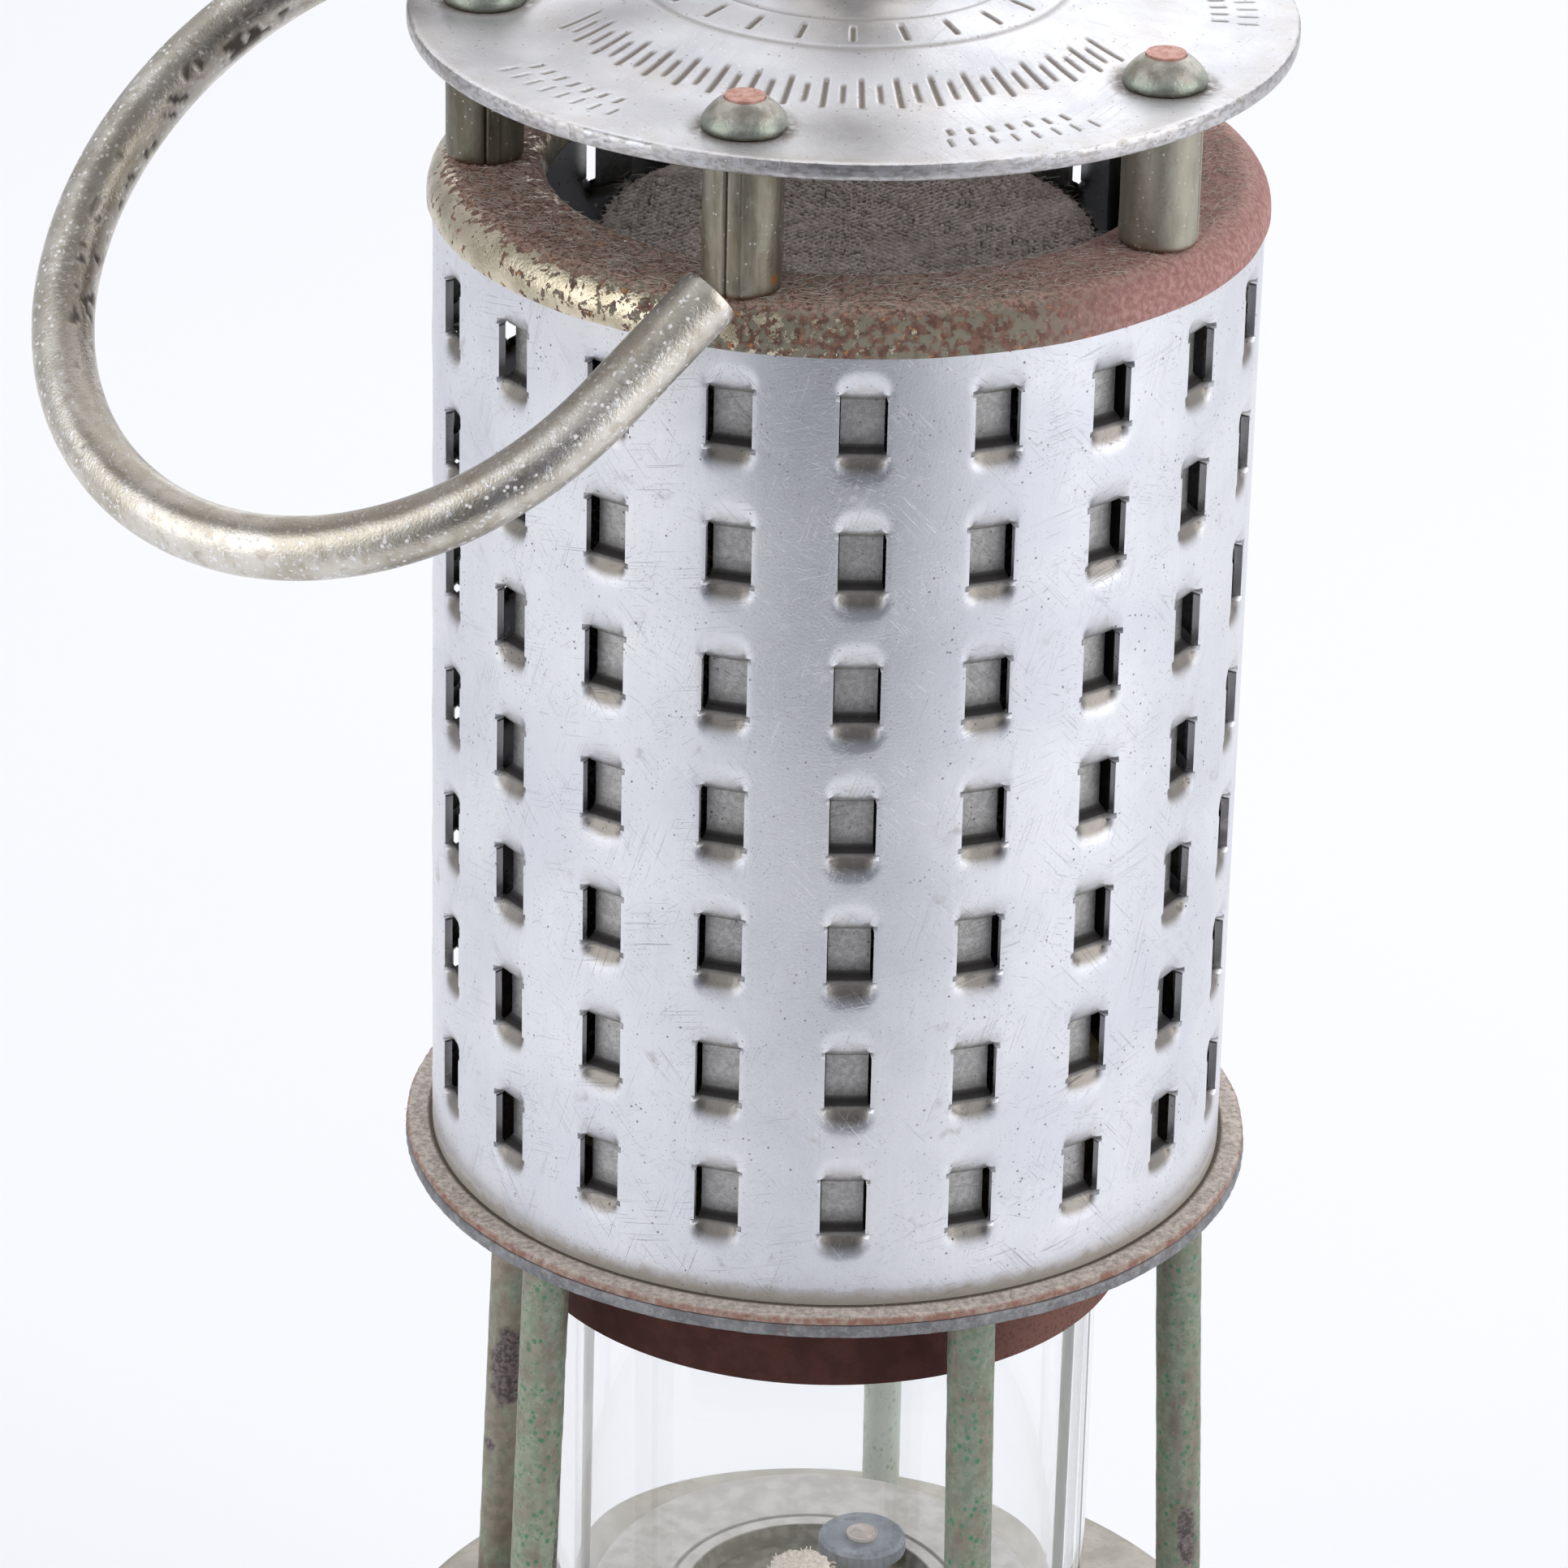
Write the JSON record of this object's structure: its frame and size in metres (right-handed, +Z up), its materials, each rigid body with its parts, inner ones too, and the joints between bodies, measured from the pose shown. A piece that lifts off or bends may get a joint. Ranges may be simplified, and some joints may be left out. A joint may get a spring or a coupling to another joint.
{
  "type": "miner's safety lamp",
  "caption": "Flame safety lamp with a slotted aluminium bonnet, clear glass cylinder in a pillared frame, screw-on fuel vessel and a swivelling wire hook.",
  "frame": {"origin": "on the lamp's axis, on the flat underside of the base", "axes": "+Z up along the lamp's axis, -Y towards the front"},
  "size_m": [0.1101, 0.0915, 0.2469],
  "materials": {
    "vessel_aluminium": "dull cast",
    "seal_rubber": "matt",
    "fitting_brass": "tarnished",
    "cotton": "loose fibre",
    "wick_cotton": "frayed",
    "spindle_steel": "drawn",
    "striker_steel": "blued, worn",
    "foot_ring_metal": "dull, stained",
    "glass_gasket": "pressed fibre",
    "lamp_glass": "clear",
    "rusted_steel": "brown rust",
    "zinc_plate": "dull grey, rough edge",
    "flange_steel": "dusty, rusted edge",
    "bonnet_aluminium": "satin, scratched",
    "rim_steel": "worn plating over rust",
    "gauze_wire": "dark, dusty",
    "pillar_brass": "green and tan patina",
    "rod_copper": "dull copper brown",
    "tube_metal": "olive grey tarnish",
    "dome_metal": "grey patina",
    "hook_steel": "worn nickel with pits"
  },
  "bodies": {
    "vessel": {"vessel": "vessel_aluminium", "bottom_plate": "vessel_aluminium", "bottom_seal": "seal_rubber", "filler_cap": "fitting_brass", "filler_gasket": "seal_rubber", "cotton_packing": "cotton", "wick_tube": "fitting_brass", "wick_guide": "spindle_steel", "striker_guide": "spindle_steel", "striker_seat": "striker_steel", "flint_holder": "fitting_brass", "flint": "striker_steel"},
    "wick_lifter": {"wick": "wick_cotton", "wick_raiser": "fitting_brass"},
    "wick_drive": {"wick_screw": "spindle_steel", "wick_knob": "fitting_brass"},
    "striker": {"striker_wheel": "striker_steel", "striker_spindle": "spindle_steel", "striker_knob": "fitting_brass"},
    "seal": {"frame_seal": "seal_rubber"},
    "frame": {"foot_ring": "foot_ring_metal", "lower_gasket": "glass_gasket", "glass": "lamp_glass", "upper_gasket": "glass_gasket", "glass_holder": "rusted_steel", "frame_plate": "zinc_plate", "bonnet_flange": "flange_steel", "bonnet_shell": "bonnet_aluminium", "bonnet_rim": "rim_steel", "gauze_ring": "fitting_brass", "outer_gauze": "gauze_wire", "inner_gauze": "gauze_wire", "hood": "bonnet_aluminium", "pillar_1": "pillar_brass", "pillar_2": "pillar_brass", "pillar_3": "pillar_brass", "pillar_4": "pillar_brass", "pillar_5": "pillar_brass", "tie_rod_1": "rod_copper", "tie_rod_2": "rod_copper", "tie_rod_3": "rod_copper", "tie_rod_4": "rod_copper", "tie_rod_5": "rod_copper", "distance_tube_1": "tube_metal", "distance_tube_2": "tube_metal", "distance_tube_3": "tube_metal", "distance_tube_4": "tube_metal", "distance_tube_5": "tube_metal", "dome_washer_1": "dome_metal", "dome_washer_2": "dome_metal", "dome_washer_3": "dome_metal", "dome_washer_4": "dome_metal", "dome_washer_5": "dome_metal"},
    "swivel": {"swivel_stud": "hook_steel", "swivel_nut": "hook_steel"},
    "hook": {"hook": "hook_steel", "hook_washer": "hook_steel"}
  },
  "joints": [
    {"name": "wick_turn", "type": "hinge", "parent": "vessel", "child": "wick_drive", "pos_m": [-0.014, -0.006, 0.003], "axis": [0, 0, 1], "range_deg": [-450, 540]},
    {"name": "wick_lift", "type": "slide", "parent": "vessel", "child": "wick_lifter", "axis": [0, 0, 1], "range_m": [-0.0035, 0.004]},
    {"name": "striker_turn", "type": "hinge", "parent": "vessel", "child": "striker", "pos_m": [0.0046, 0.005, 0.003], "axis": [0, 0, 1], "continuous": true},
    {"name": "frame_lift", "type": "slide", "parent": "vessel", "child": "seal", "axis": [0, 0, 1], "range_m": [0, 0.012]},
    {"name": "frame_turn", "type": "hinge", "parent": "seal", "child": "frame", "pos_m": [0, 0, 0.04], "axis": [0, 0, 1], "range_deg": [0, 1440]},
    {"name": "swivel_turn", "type": "hinge", "parent": "frame", "child": "swivel", "pos_m": [0, 0, 0.219], "axis": [0, 0, 1], "continuous": true},
    {"name": "hook_tilt", "type": "hinge", "parent": "swivel", "child": "hook", "pos_m": [0, 0, 0.2395], "axis": [-0.809, 0.5878, 0], "range_deg": [0, 259]}
  ],
  "couplings": [
    {"joint": "wick_lift", "follows": "wick_turn", "m_per_rad": 0.00031831},
    {"joint": "frame_lift", "follows": "frame_turn", "m_per_rad": 0.00047746}
  ]
}
